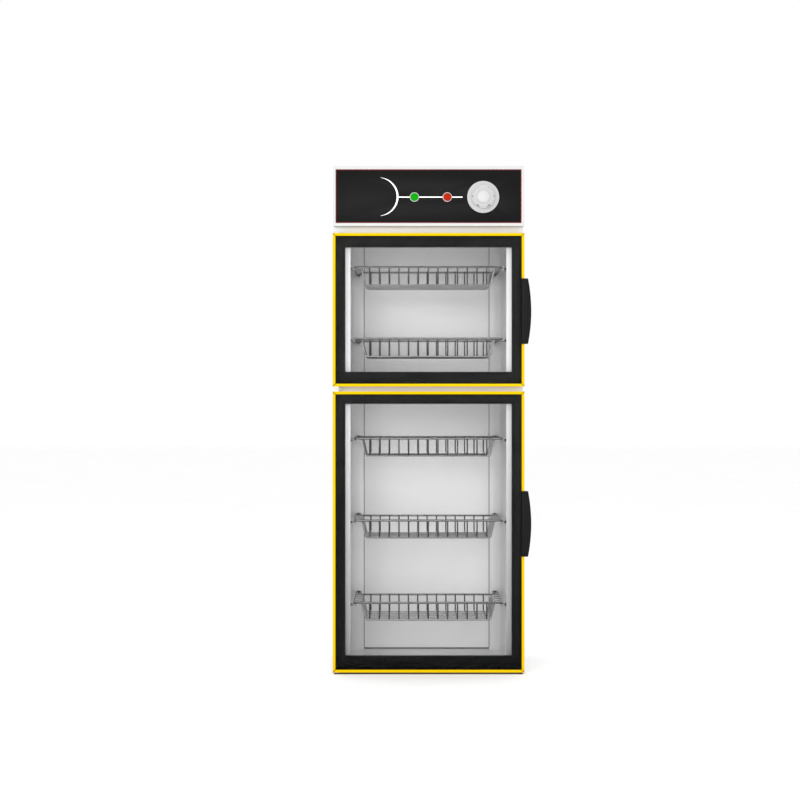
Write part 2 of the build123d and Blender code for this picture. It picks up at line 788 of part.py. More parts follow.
def handle(z):
    """A bow pull over the door's right edge, with a lip for the fingers and a leg for its screws."""
    half = handle_length / 2
    inner = door_half - handle_lap
    outer = door_half + handle_lap
    low, high = z - half, z + half

    with BuildPart() as pull:
        with BuildSketch(front_plane(door_front - handle_plate)):
            with BuildLine():
                Polyline((outer, low), (inner, low), (inner, high), (outer, high))
                ThreePointArc((outer, high), (outer + handle_bulge, z), (outer, low))
            make_face()
        extrude(amount=-handle_plate)
        chamfer(pull.faces().sort_by(Axis.Y)[0].edges(), handle_round)
        with BuildSketch(front_plane(door_front)):
            lip = outer - handle_lip
            with BuildLine():
                Line((lip, low), (outer, low))
                ThreePointArc((outer, low), (outer + handle_bulge, z), (outer, high))
                Line((outer, high), (lip, high))
                ThreePointArc((lip, high), (lip + handle_bulge, z), (lip, low))
            make_face()
        extrude(amount=-handle_lip_depth)
        block(door_half, door_half + handle_leg, door_front,
              door_front + handle_leg_depth, low, high)
    return pull


# ================================================================ control head

def control_head():
    """Deck, bezel, edging and fascia with their openings."""
    with BuildPart() as head_deck:
        block(-casing_half, casing_half, frame_back, back_cover_front - sheet,
              deck_top - deck_sheet, deck_top)
    finish(head_deck, "head_deck")

    half = bezel_half
    ledge_back = fascia_back + ledge_thickness
    with BuildPart() as head_bezel:
        block(-half, half, bezel_front, frame_front, head_bottom, total_height)
        fillet(head_bezel.faces().sort_by(Axis.Y)[0].edges(), bezel_wall / 2)
        block(-panel_half, panel_half, bezel_front, fascia_back, panel_bottom, panel_top,
              Mode.SUBTRACT)
        block(-panel_half + ledge, panel_half - ledge, fascia_back, ledge_back,
              panel_bottom + ledge, panel_top - ledge, Mode.SUBTRACT)
        block(-half + bezel_wall, half - bezel_wall, ledge_back, frame_front,
              head_bottom + bezel_wall, total_height - bezel_wall, Mode.SUBTRACT)
    finish(head_bezel, "head_bezel")

    edge_half = panel_half - panel_clearance
    edge_bottom, edge_top = panel_bottom + panel_clearance, panel_top - panel_clearance
    with BuildPart() as fascia_edging:
        block(-edge_half, edge_half, fascia_front, fascia_back, edge_bottom, edge_top)
        block(-edge_half + edging_width, edge_half - edging_width, fascia_front, fascia_back,
              edge_bottom + edging_width, edge_top - edging_width, Mode.SUBTRACT)
    finish(fascia_edging, "fascia_edging")

    with BuildPart() as control_fascia:
        block(-edge_half + edging_width, edge_half - edging_width, fascia_front, fascia_back,
              edge_bottom + edging_width, edge_top - edging_width)
        with BuildSketch(front_plane(fascia_front)):
            with Locations((green_lamp_x, control_z), (red_lamp_x, control_z)):
                flats(lamp_body_radius + lamp_clearance, 8)
        extrude(amount=-fascia_thickness, mode=Mode.SUBTRACT)
        forward(knob_x, control_z, fascia_front, fascia_back,
                timer_bush_radius + lamp_clearance, Mode.SUBTRACT)
    finish(control_fascia, "control_fascia")


def lamps():
    """Two pilot lamps: a collar with a flat lens in front, the body and its nut behind."""
    collar_front = fascia_front - lamp_ring_height
    with BuildPart() as lamp_rings:
        for x in (green_lamp_x, red_lamp_x):
            forward(x, control_z, collar_front, fascia_front, lamp_ring_radius)
    finish(lamp_rings, "lamp_rings")

    for node, x in (("green_lamp_lens", green_lamp_x), ("red_lamp_lens", red_lamp_x)):
        with BuildPart() as lens:
            forward(x, control_z, collar_front - lamp_lens_height, collar_front, lamp_lens_radius)
        finish(lens, node)

    with BuildPart() as lamp_bodies:
        for start, length, radius, sides in (
            (fascia_front, lamp_body_length, lamp_body_radius, 8),
            (fascia_back, lamp_nut_height, lamp_nut_radius, 6),
        ):
            with BuildSketch(front_plane(start)):
                with Locations((green_lamp_x, control_z), (red_lamp_x, control_z)):
                    flats(radius, sides)
            extrude(amount=-length)
    finish(lamp_bodies, "lamp_bodies")


def timer():
    """Clockwork timer behind the fascia, its shaft and the knob."""
    body_front = fascia_back + timer_spacer
    shaft_end = body_front + shaft_depth
    shaft_front = knob_back - knob_bore_depth
    with BuildPart() as timer_body:
        block(knob_x - timer_size / 2, knob_x + timer_size / 2, body_front,
              body_front + timer_depth, control_z - timer_size / 2, control_z + timer_size / 2)
        block(knob_x - timer_spacer_half, knob_x + timer_spacer_half, fascia_back, body_front,
              control_z - timer_spacer_half, control_z + timer_spacer_half)
        forward(knob_x, control_z, fascia_front - timer_bush_stand, fascia_back, timer_bush_radius)
        forward(knob_x, control_z, fascia_front - timer_bush_stand, shaft_end,
                shaft_radius + shaft_clearance, Mode.SUBTRACT)
    finish(timer_body, "timer_body")

    with BuildPart() as timer_shaft:
        forward(knob_x, control_z, shaft_front, shaft_end - 1, shaft_radius)
        block(knob_x - shaft_radius, knob_x + shaft_radius, shaft_front, knob_back,
              control_z + shaft_radius - shaft_flat, control_z + shaft_radius, Mode.SUBTRACT)
    finish(timer_shaft, "timer_shaft")

    skirt_front = knob_back - skirt_height
    body_face = skirt_front - knob_height
    ring_face = body_face - knob_ring_height
    with BuildPart() as timer_knob:
        forward(knob_x, control_z, skirt_front, knob_back, skirt_radius)
        with BuildSketch(front_plane(skirt_front)):
            with Locations((knob_x, control_z)):
                Circle(knob_radius)
                for radius, angles in knob_notches:
                    for angle in angles:
                        with PolarLocations(knob_radius, 1, start_angle=angle):
                            Circle(radius, mode=Mode.SUBTRACT)
        extrude(amount=knob_height)
        forward(knob_x, control_z, ring_face, body_face, knob_ring_radius)
        forward(knob_x, control_z, knob_back - knob_recess_depth, knob_back, knob_recess_radius,
                Mode.SUBTRACT)
        forward(knob_x, control_z, shaft_front, knob_back, shaft_radius, Mode.SUBTRACT)
    finish(timer_knob, "timer_knob")

    with BuildPart() as knob_cap:
        forward(knob_x, control_z, ring_face - cap_height, ring_face, cap_radius)
    finish(knob_cap, "knob_cap")


def head_equipment():
    """Ozone generator, terminal block and thermostat standing on the head's deck."""
    with BuildPart() as ozone_generator:
        x, y = ozone_place
        wide, deep, high = ozone_size
        block(x - wide / 2, x + wide / 2, y - deep / 2, y + deep / 2, deck_top, deck_top + high)
        with BuildSketch(Plane.YZ.offset(x + wide / 2)):
            with Locations((y, deck_top + high / 2)):
                flats(ozone_nozzle_radius, 8)
        extrude(amount=ozone_nozzle_length)
    finish(ozone_generator, "ozone_generator")

    with BuildPart() as terminal_block:
        x, y = terminal_place
        wide, deep, high = terminal_size
        block(x - wide / 2, x + wide / 2, y - deep / 2, y + deep / 2, deck_top, deck_top + high)
        pole = wide / terminal_poles
        for i in range(terminal_poles):
            left = x - wide / 2 + i * pole
            block(left + pole * 0.2, left + pole * 0.8, y - deep / 2, y + deep / 2,
                  deck_top + high * 0.7, deck_top + high, Mode.SUBTRACT)
    finish(terminal_block, "terminal_block")

    with BuildPart() as thermostat:
        x, y = thermostat_place
        wide, deep, high = thermostat_size
        block(x - wide / 2, x + wide / 2, y - deep / 2, y + deep / 2, deck_top, deck_top + high)
        with BuildSketch(Plane.XY.offset(deck_top + high)):
            with Locations((x, y)):
                flats(wide / 4, 8)
        extrude(amount=thermostat_stub)
    finish(thermostat, "thermostat")


casing()
face_frame_and_hinges()
chambers()
heater()
racks()
rack_supports()
door("upper", upper_door_bottom, upper_door_top, upper_border, upper_handle_z,
     middle_bush_head, top_bush_head)
door("lower", lower_door_bottom, lower_door_top, lower_border, lower_handle_z,
     bottom_bush_head, middle_bush_head)
control_head()
lamps()
timer()
head_equipment()
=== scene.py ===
import json
import math

import bmesh
import bpy
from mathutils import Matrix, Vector

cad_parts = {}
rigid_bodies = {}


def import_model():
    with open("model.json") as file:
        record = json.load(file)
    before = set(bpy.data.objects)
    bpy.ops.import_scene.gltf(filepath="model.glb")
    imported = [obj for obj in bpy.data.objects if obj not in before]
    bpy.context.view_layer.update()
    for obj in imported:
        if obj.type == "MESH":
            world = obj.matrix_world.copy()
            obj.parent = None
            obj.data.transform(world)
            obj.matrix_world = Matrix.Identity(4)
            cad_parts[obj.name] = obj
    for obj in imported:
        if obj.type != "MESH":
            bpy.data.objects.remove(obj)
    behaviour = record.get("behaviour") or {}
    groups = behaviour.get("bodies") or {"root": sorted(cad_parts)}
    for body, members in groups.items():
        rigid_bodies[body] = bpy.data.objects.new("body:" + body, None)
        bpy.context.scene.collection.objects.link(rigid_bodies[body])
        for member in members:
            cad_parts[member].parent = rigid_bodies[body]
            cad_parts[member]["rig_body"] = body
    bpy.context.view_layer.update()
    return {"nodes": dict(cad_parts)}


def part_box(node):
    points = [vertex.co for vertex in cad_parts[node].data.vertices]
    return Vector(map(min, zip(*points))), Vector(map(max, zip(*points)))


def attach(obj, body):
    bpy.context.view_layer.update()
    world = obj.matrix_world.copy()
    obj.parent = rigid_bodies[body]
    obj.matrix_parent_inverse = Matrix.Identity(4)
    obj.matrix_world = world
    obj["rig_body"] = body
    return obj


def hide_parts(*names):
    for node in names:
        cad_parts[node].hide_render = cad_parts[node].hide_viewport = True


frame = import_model()

NODES = frame["nodes"]
SCENE = bpy.context.scene
MM = 0.001
RACKS = (1, 2, 3, 4, 5)
DOORS = ("upper", "lower")


def middle(node):
    """The middle of a CAD node's box."""
    low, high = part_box(node)
    return (low + high) / 2


# ------------------------------------------------------------------ camera and light

# The photograph's view: level, a little left of the middle, just above half the cabinet's height.
EYE = (-0.0894, -6.44, 0.8582)
LENS, FILM = 89.2, 36
SKY = 1.0
SOFTBOXES = (   # name, place, target, size, power in watts
    ("front", (-0.4, -7.6, 1.7), (0, 0, 0.8), (4.0, 3.0), 215),
    ("key", (-2.2, -4.2, 3.0), (0, 0, 0.9), (2.4, 2.4), 30),
    ("fill", (2.8, -4.0, 1.6), (0, 0, 0.8), (2.4, 3.0), 10),
    ("top", (0, -0.6, 4.2), (0, 0, 0.8), (3.0, 3.0), 30),
)
FLOOR_REACH = 30


def camera():
    data = bpy.data.cameras.new("view")
    data.lens = LENS
    data.sensor_width = FILM
    data.clip_start = 0.1
    data.clip_end = 60
    eye = bpy.data.objects.new("view", data)
    eye.location = EYE
    eye.rotation_euler = (math.radians(90), 0, 0)
    SCENE.collection.objects.link(eye)
    SCENE.camera = eye


def softbox(name, place, target, size, power):
    """A square soft light at a place, turned to a target."""
    data = bpy.data.lights.new(name, "AREA")
    data.shape = "RECTANGLE"
    data.size, data.size_y = size
    data.energy = power
    lamp = bpy.data.objects.new(name, data)
    lamp.location = place
    aim = Vector(target) - Vector(place)
    lamp.rotation_euler = aim.to_track_quat("-Z", "Y").to_euler()
    SCENE.collection.objects.link(lamp)


def studio():
    """An even white sky and four soft lights."""
    world = bpy.data.worlds.new("studio")
    world.use_nodes = True
    sky = world.node_tree.nodes["Background"]
    sky.inputs["Color"].default_value = (1.0, 1.0, 1.0, 1)
    sky.inputs["Strength"].default_value = SKY
    SCENE.world = world
    SCENE.view_settings.view_transform = "Standard"
    for light in SOFTBOXES:
        softbox(*light)


def pale_floor():
    reach = FLOOR_REACH
    mesh = bpy.data.meshes.new("floor")
    mesh.from_pydata([(-reach, -reach, 0), (reach, -reach, 0), (reach, reach, 0),
                      (-reach, reach, 0)], [], [(0, 1, 2, 3)])
    floor = bpy.data.objects.new("floor", mesh)
    SCENE.collection.objects.link(floor)
    mesh.materials.append(ground("floor", (0.985, 0.985, 0.985)))


# ------------------------------------------------------------------ shader maths

class Value:
    """A shader socket that can stand in an expression."""

    def __init__(self, tree, socket):
        self.tree = tree
        self.socket = socket

    def _math(self, operation, first, second):
        node = self.tree.nodes.new("ShaderNodeMath")
        node.operation = operation
        for slot, value in zip(node.inputs, (first, second)):
            if isinstance(value, Value):
                self.tree.links.new(value.socket, slot)
            else:
                slot.default_value = value
        return Value(self.tree, node.outputs[0])

    def __add__(self, other):
        return self._math("ADD", self, other)

    def __radd__(self, other):
        return self._math("ADD", other, self)

    def __sub__(self, other):
        return self._math("SUBTRACT", self, other)

    def __rsub__(self, other):
        return self._math("SUBTRACT", other, self)

    def __mul__(self, other):
        return self._math("MULTIPLY", self, other)

    def __rmul__(self, other):
        return self._math("MULTIPLY", other, self)


class Finish:
    """A material with one Principled shader, whose plain numbers are set on its own sockets."""

    def __init__(self, name, **plain):
        self.material = bpy.data.materials.new(name)
        self.material.use_nodes = True
        self.tree = self.material.node_tree
        self.shader = self.tree.nodes["Principled BSDF"]
        for socket, value in plain.items():
            self.shader.inputs[socket.replace("_", " ")].default_value = value

    def node(self, kind, settings=(), **inputs):
        """Any node: its settings first, then the values or links of its sockets."""
        node = self.tree.nodes.new(kind)
        for key, value in dict(settings).items():
            if key == "stops":
                ramp = node.color_ramp.elements
                while len(ramp) < len(value):
                    ramp.new(0.5)
                for stop, (place, colour) in zip(ramp, value):
                    stop.position = place
                    stop.color = (*colour, 1)
            else:
                setattr(node, key, value)
        for socket, value in inputs.items():
            slot = node.inputs[socket.replace("_", " ")]
            if isinstance(value, Value):
                self.tree.links.new(value.socket, slot)
            else:
                slot.default_value = value
        return node

    def out(self, node, name):
        return Value(self.tree, node.outputs[name])

    def place(self, stretch=(1, 1, 1), shift=(0, 0, 0)):
        """The point on the piece, in metres, stretched and shifted."""
        at = self.out(self.node("ShaderNodeTexCoord"), "Object")
        return self.out(
            self.node("ShaderNodeMapping", Vector=at, Scale=stretch, Location=shift), "Vector")

    def noise(self, scale, at, detail=3.0, roughness=0.5):
        """Soft noise from 0 to 1; scale is its number of waves in a metre."""
        return self.out(
            self.node("ShaderNodeTexNoise", Vector=at, Scale=scale, Detail=detail,
                      Roughness=roughness), "Fac")

    def colours(self, amount, *stops):
        """A colour that goes through the stops as the amount goes from 0 to 1."""
        ramp = self.node("ShaderNodeValToRGB", {"stops": stops}, Fac=amount)
        return self.out(ramp, "Color")

    def give(self, **links):
        """Link values to the shader's sockets."""
        for socket, value in links.items():
            self.tree.links.new(value.socket, self.shader.inputs[socket.replace("_", " ")])
        return self

    def bump(self, height, strength, distance):
        """Fine relief; distance is its depth in metres."""
        node = self.node("ShaderNodeBump", Height=height, Strength=strength, Distance=distance)
        return self.give(Normal=self.out(node, "Normal"))


def shades(colour, spread):
    """Three stops round a colour: darker, itself, lighter."""
    def scaled(factor):
        return tuple(min(1.0, c * factor) for c in colour)
    return (0.3, scaled(1 - spread)), (0.5, colour), (0.7, scaled(1 + spread))


def enamel(name, colour, roughness, peel=0.5, spread=0.035, shine=0.5):
    """Sprayed enamel: the faint ripple of orange peel, soft clouds and fine dust."""
    f = Finish(name, Metallic=0.0, IOR=1.5, Specular_IOR_Level=shine)
    at = f.place()
    cloud = f.noise(6.0, at, 4.0)
    ripple = f.noise(420.0, at, 1.0)
    dust = f.noise(2400.0, at, 2.0)
    f.give(Base_Color=f.colours(cloud * 0.8 + dust * 0.2, *shades(colour, spread)),
           Roughness=cloud * 0.10 + ripple * 0.06 + (roughness - 0.08))
    return f.bump(ripple * 0.8 + dust * 0.2, peel, 0.00004).material


def shade_painted_enamel(name, roughness, painted_shade_by_height):
    """White enamel with painted shade: its lightness follows the height, in metres, with faint
    clouds and peel.

    A ramp runs from 0 to 1, so it is read at the height's share of the span, and the clouds move
    the fade up and down by a few millimetres.
    """
    span = 1.6
    f = Finish(name, Metallic=0.0, IOR=1.5, Specular_IOR_Level=0.3)
    at = f.place()
    cloud = f.noise(6.0, at, 4.0)
    ripple = f.noise(420.0, at, 1.0)
    height = f.out(f.node("ShaderNodeSeparateXYZ", Vector=at), "Z")
    stops = [(z / span, (light, light, light)) for z, light in painted_shade_by_height]
    f.give(Base_Color=f.colours(height * (1 / span) + cloud * 0.006 - 0.003, *stops),
           Roughness=cloud * 0.10 + ripple * 0.06 + (roughness - 0.08))
    return f.bump(ripple, 0.5, 0.00004).material


def moulding(name, colour, roughness, grain=1500.0, depth=0.00005, spread=0.06, shine=0.5):
    """Moulded plastic: a fine spark-eroded grain and faint flow marks."""
    f = Finish(name, Metallic=0.0, IOR=1.48, Specular_IOR_Level=shine)
    at = f.place()
    flow = f.noise(9.0, f.place(stretch=(1, 1, 0.25)), 3.0)
    texture = f.noise(grain, at, 2.0, 0.6)
    f.give(Base_Color=f.colours(flow * 0.7 + texture * 0.3, *shades(colour, spread)),
           Roughness=texture * 0.12 + flow * 0.08 + (roughness - 0.10))
    return f.bump(texture, 0.35, depth).material


def brushed(name, colour, roughness, metallic, along="Z", lines=1.0):
    """Rolled and brushed sheet: long fine scratches along X or Z, with soft stains."""
    f = Finish(name, Anisotropic=0.35, Metallic=metallic)
    long, short = 6.0, 900.0
    stretch = {"X": (long, short, short), "Z": (short, short, long)}
    scratch = f.noise(1.0, f.place(stretch=stretch[along]), 4.0, 0.6)
    stain = f.noise(5.0, f.place(), 3.0)
    handled = f.noise(38.0, f.place(), 2.0)
    f.give(Base_Color=f.colours(scratch * 0.6 + stain * 0.4, *shades(colour, 0.08 * lines)),
           Roughness=scratch * 0.16 * lines + handled * 0.08 + (roughness - 0.12))
    return f.bump(scratch, 0.25 * lines, 0.00002).material


def chromed(name, colour, roughness, mottle=0.10):
    """Plated wire, with the faint unevenness of the steel under it."""
    f = Finish(name, Metallic=1.0)
    at = f.place()
    cloud = f.noise(60.0, at, 3.0)
    pits = f.noise(1800.0, at, 2.0)
    f.give(Base_Color=f.colours(cloud, *shades(colour, mottle)),
           Roughness=cloud * 0.10 + pits * 0.05 + (roughness - 0.07))
    return f.bump(pits, 0.2, 0.00002).material


def zinc(name, colour, roughness):
    """Zinc plate: a spangle of crystals, each a little lighter or darker."""
    f = Finish(name, Metallic=1.0)
    at = f.place()
    crystal = f.out(f.node("ShaderNodeTexVoronoi", {"feature": "F1"}, Vector=at, Scale=160.0),
                    "Distance")
    cloud = f.noise(30.0, at, 3.0)
    f.give(Base_Color=f.colours(crystal * 0.5 + cloud * 0.5, *shades(colour, 0.16)),
           Roughness=cloud * 0.2 + (roughness - 0.1))
    return f.bump(crystal, 0.15, 0.00003).material


def rubber(name, colour, ribs):
    """Extruded seal: fine ribs along it and a dull bloom."""
    f = Finish(name, Metallic=0.0, IOR=1.5)
    bloom = f.noise(45.0, f.place(), 3.0)
    rib = f.out(f.node("ShaderNodeTexWave", {"bands_direction": "DIAGONAL"}, Vector=f.place(),
                       Scale=ribs, Distortion=0.0), "Fac")
    f.give(Base_Color=f.colours(bloom, *shades(colour, 0.25)), Roughness=bloom * 0.2 + 0.55)
    return f.bump(rib, 0.4, 0.0002).material


def lens(name, colour, centre):
    """A pilot lamp's lens: rings of prisms behind a clear dome, with a soft glow."""
    f = Finish(name, Roughness=0.3, IOR=1.5, Specular_IOR_Level=0.03, Emission_Strength=0.35)
    at = f.place(shift=tuple(-c for c in centre))
    rings = f.out(f.node("ShaderNodeTexWave", {"wave_type": "RINGS", "rings_direction": "Y"},
                         Vector=at, Scale=110.0, Distortion=0.0), "Fac")
    dark = tuple(c * 0.8 for c in colour)
    tint = f.colours(rings, (0.0, dark), (1.0, colour))
    f.give(Base_Color=tint, Emission_Color=tint)
    return f.bump(rings, 0.25, 0.0002).material


def turned(name, colour, centre):
    """A face turned on a lathe, with fine rings about its axis."""
    f = Finish(name, Metallic=0.0, IOR=1.5)
    at = f.place(shift=tuple(-c for c in centre))
    rings = f.out(f.node("ShaderNodeTexWave", {"wave_type": "RINGS", "rings_direction": "Y"},
                         Vector=at, Scale=420.0, Distortion=0.4), "Fac")
    cloud = f.noise(30.0, at, 2.0)
    f.give(Base_Color=f.colours(rings * 0.5 + cloud * 0.5, *shades(colour, 0.05)),
           Roughness=rings * 0.1 + 0.3)
    return f.bump(rings, 0.2, 0.00003).material


def pane(name):
    """Clear tempered glass, faintly green, that mirrors more towards a grazing look."""
    f = Finish(name, Base_Color=(0.045, 0.055, 0.05, 1), Roughness=0.02, IOR=1.5)
    grazing = f.out(f.node("ShaderNodeLayerWeight", Blend=0.25), "Fresnel")
    smear = f.noise(7.0, f.place(), 4.0)
    f.give(Alpha=grazing * 0.5 + smear * 0.015 + 0.005)
    return f.material


def wool(name, colour):
    """Mineral wool: matted fibres."""
    f = Finish(name, Metallic=0.0, Roughness=0.95)
    fibre = f.noise(700.0, f.place(stretch=(1, 0.2, 1)), 6.0, 0.7)
    clump = f.noise(60.0, f.place(), 4.0)
    f.give(Base_Color=f.colours(fibre * 0.6 + clump * 0.4, *shades(colour, 0.3)))
    return f.bump(fibre * 0.5 + clump * 0.5, 0.8, 0.001).material


def sheathed(name, cold, hot):
    """A heating tube's steel sheath, tinted by heat in patches."""
    f = Finish(name, Metallic=1.0)
    patch = f.noise(22.0, f.place(), 3.0)
    grain = f.noise(900.0, f.place(), 2.0)
    f.give(Base_Color=f.colours(patch, (0.35, cold), (0.65, hot)), Roughness=grain * 0.2 + 0.3)
    return f.bump(grain, 0.3, 0.00004).material


def print_with_painted_glow(name, colour):
    """Screen-printed ink with the slight mottle of its mesh, and a faint painted glow."""
    f = Finish(name, Metallic=0.0, Emission_Strength=0.12)
    mesh = f.noise(2600.0, f.place(), 1.0)
    tint = f.colours(mesh, *shades(colour, 0.06))
    f.give(Base_Color=tint, Emission_Color=tint, Roughness=mesh * 0.2 + 0.35)
    return f.bump(mesh, 0.2, 0.00002).material


def ground(name, colour):
    """The studio's floor: matt, with clouds that are only just there."""
    f = Finish(name, Metallic=0.0)
    cloud = f.noise(2.0, f.place(), 3.0)
    f.give(Base_Color=f.colours(cloud, *shades(colour, 0.01)), Roughness=cloud * 0.1 + 0.6)
    return f.material


# Painted shade: the strips' enamel is made darker towards the foot, between the doors and at the
# very head.
# How light the front strips are at each height in metres: they fade towards the cabinet's foot,
# as the photograph shows them.
STRIP_PAINTED_SHADE = ((0.060, 0.30), (0.120, 0.34), (0.436, 0.55), (0.780, 0.76), (0.870, 0.71),
                (0.930, 0.71), (0.970, 0.82), (1.320, 0.82), (1.365, 0.71))

# The middles of the lamps and the knob, which lie at one height.
GREEN_X, RED_X = middle("green_lamp_lens").x, middle("red_lamp_lens").x
KNOB_X, CONTROL_Z = middle("timer_knob").x, middle("timer_knob").z

FINISHES = {
    "casing": enamel("casing", (0.62, 0.622, 0.622), 0.38, shine=0.3),
    "base": enamel("base", (0.035, 0.035, 0.038), 0.45, shine=0.2),
    "bezel": moulding("bezel", (0.49, 0.492, 0.49), 0.34, grain=900.0, spread=0.02, shine=0.3),
    "fascia": moulding("fascia", (0.0040, 0.0040, 0.0040), 0.42, grain=2200.0, spread=0.08,
                       shine=0.08),
    "edging": moulding("edging", (0.15, 0.009, 0.007), 0.4, spread=0.2, shine=0.1),
    "ink_with_painted_glow": print_with_painted_glow("ink_with_painted_glow", (0.92, 0.92, 0.92)),
    "green_lens": lens("green_lens", (0.001, 0.24, 0.0), (GREEN_X, 0, CONTROL_Z)),
    "red_lens": lens("red_lens", (0.31, 0.012, 0.0), (RED_X, 0, CONTROL_Z)),
    "lamp_ring": moulding("lamp_ring", (0.38, 0.385, 0.39), 0.3, spread=0.04),
    "knob": moulding("knob", (0.41, 0.411, 0.411), 0.36, grain=1100.0, spread=0.03, shine=0.3),
    "knob_mark_and_slot_shade": moulding("knob_mark_and_slot_shade", (0.16, 0.155, 0.15), 0.5, shine=0.2),
    "knob_groove": moulding("knob_groove", (0.27, 0.27, 0.265), 0.5, shine=0.2),
    "knob_cap": turned("knob_cap", (0.44, 0.44, 0.44), (KNOB_X, 0, CONTROL_Z)),
    "steel_part": zinc("steel_part", (0.55, 0.56, 0.57), 0.4),
    "screw": chromed("screw", (0.62, 0.62, 0.63), 0.3),
    "liner": brushed("liner", (0.81, 0.81, 0.81), 0.5, metallic=0.05, lines=0.5),
    "floor_sheet": brushed("floor_sheet", (0.80, 0.80, 0.80), 0.40, along="X", metallic=0.10),
    # One chrome in four lightnesses: the long wires darkest, then rails, studs and cross wires.
    # These differences are painted shade and light on one plating.
    "wire": chromed("wire", (0.075, 0.075, 0.076), 0.32),
    "rail": chromed("rail", (0.16, 0.16, 0.162), 0.28),
    "cross_wire": chromed("cross_wire", (0.27, 0.27, 0.272), 0.30),
    "stud": chromed("stud", (0.24, 0.24, 0.242), 0.12),
    # The liner seams' beads: their darkness is painted seam shade.
    "sealant_and_seam_shade": rubber("sealant_and_seam_shade", (0.09, 0.09, 0.088), 300.0),
    "joint": moulding("joint", (0.02, 0.018, 0.01), 0.5, shine=0.1),
    "frame_white_painted_shade": shade_painted_enamel("frame_white_painted_shade", 0.38, STRIP_PAINTED_SHADE),
    "trim": enamel("trim", (0.68, 0.44, 0.0), 0.34, peel=0.25, spread=0.02, shine=0.02),
    "door_frame": moulding("door_frame", (0.0037, 0.0037, 0.0037), 0.36, grain=3000.0,
                           depth=0.00001, spread=0.06, shine=0.05),
    "glass": pane("glass"),
    "gasket": rubber("gasket", (0.05, 0.05, 0.052), 900.0),
    "bush": moulding("bush", (0.75, 0.73, 0.66), 0.5, spread=0.05),
    "handle": moulding("handle", (0.0028, 0.0028, 0.0029), 0.46, grain=1300.0, spread=0.10,
                       shine=0.10),
    "insulation": wool("insulation", (0.13, 0.125, 0.11)),
    "heater": sheathed("heater", (0.30, 0.29, 0.28), (0.42, 0.30, 0.20)),
    "device": moulding("device", (0.05, 0.05, 0.055), 0.5),
    "terminal": moulding("terminal", (0.62, 0.60, 0.52), 0.5),
    "gland": moulding("gland", (0.02, 0.02, 0.021), 0.45, spread=0.15),
}


# ------------------------------------------------------------------ pieces

def piece(name, mesh, finish, body, *replaced, slot=None):
    """A finished mesh as a piece of a body, in place of CAD nodes."""
    made = bpy.data.objects.new(name, mesh)
    SCENE.collection.objects.link(made)
    mesh.materials.clear()
    mesh.materials.append(FINISHES[finish])
    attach(made, body)
    if replaced:
        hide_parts(*replaced)


def formed(name, form, finish, body, slot):
    """A bmesh of thin plates, turned outwards, as a piece."""
    bmesh.ops.recalc_face_normals(form, faces=form.faces)
    mesh = bpy.data.meshes.new(name)
    form.to_mesh(mesh)
    form.free()
    piece(name, mesh, finish, body, slot=slot)


def merged(node):
    """A node's mesh with its corners joined and its flat faces whole."""
    mesh = bpy.data.meshes.new(node + "_merged")
    form = bmesh.new()
    form.from_mesh(NODES[node].data)
    bmesh.ops.remove_doubles(form, verts=form.verts, dist=2e-6)
    bmesh.ops.dissolve_limit(form, angle_limit=math.radians(0.6), verts=form.verts,
                             edges=form.edges)
    form.to_mesh(mesh)
    form.free()
    return mesh


def applied(maker):
    """The plain mesh of an object with its modifiers, and the object removed."""
    bpy.context.view_layer.update()
    shown = maker.evaluated_get(bpy.context.evaluated_depsgraph_get())
    mesh = bpy.data.meshes.new_from_object(shown)
    bpy.data.objects.remove(maker)
    return mesh


def softened(mesh, width, segments=2, angle=35):
    """The mesh with its sharp edges rounded."""
    maker = bpy.data.objects.new("maker", mesh)
    SCENE.collection.objects.link(maker)
    mesh.shade_smooth()
    bevel = maker.modifiers.new("round", "BEVEL")
    bevel.width = width
    bevel.segments = segments
    bevel.limit_method = "ANGLE"
    bevel.angle_limit = math.radians(angle)
    bevel.use_clamp_overlap = True
    bevel.harden_normals = True
    return applied(maker)


def dress(node, finish, width=0.0, segments=2, slot=None):
    """A CAD node shown as it is, or as a copy with rounded edges."""
    if not width:
        NODES[node].data.materials.clear()
        NODES[node].data.materials.append(FINISHES[finish])
        return
    mesh = softened(merged(node), width, segments)
    piece(node + "_form", mesh, finish, NODES[node]["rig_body"], node, slot=slot)


def casing():
    dress("side_panels", "casing", 0.5 * MM)
    dress("top_cover", "casing", 0.4 * MM)
    dress("back_cover", "casing", 0.35 * MM)
    # The face frame's enamel carries painted shade that darkens it by height.
    dress("face_frame", "frame_white_painted_shade", 0.5 * MM, slot="casing")
    dress("base_plate", "base", 0.8 * MM)
    dress("head_bezel", "bezel", 0.8 * MM, 3)
    dress("fascia_edging", "edging", 0.3 * MM)
    dress("control_fascia", "fascia", 0.3 * MM)
    dress("head_deck", "steel_part")
    dress("hinge_plates", "steel_part", 0.3 * MM)
    dress("hinge_pins", "steel_part", 0.3 * MM)
    dress("cable_gland", "gland", 0.4 * MM)
    dress("back_screws", "screw")


def chambers():
    for node in ("side_liners", "back_liners"):
        dress(node, "liner", 0.25 * MM)
    dress("chamber_ceilings", "floor_sheet")
    dress("chamber_floors", "floor_sheet")
    dress("heater_cover", "floor_sheet", 0.5 * MM, slot="liner")
    dress("heater_tube", "heater")
    dress("heater_clips", "steel_part")
    dress("insulation", "insulation")
    liner_seams()


def inside_head():
    dress("lamp_bodies", "device", 0.4 * MM)
    dress("timer_body", "device", 0.4 * MM)
    dress("ozone_generator", "steel_part", 0.6 * MM)
    dress("terminal_block", "terminal", 0.4 * MM)
    dress("thermostat", "device", 0.4 * MM)


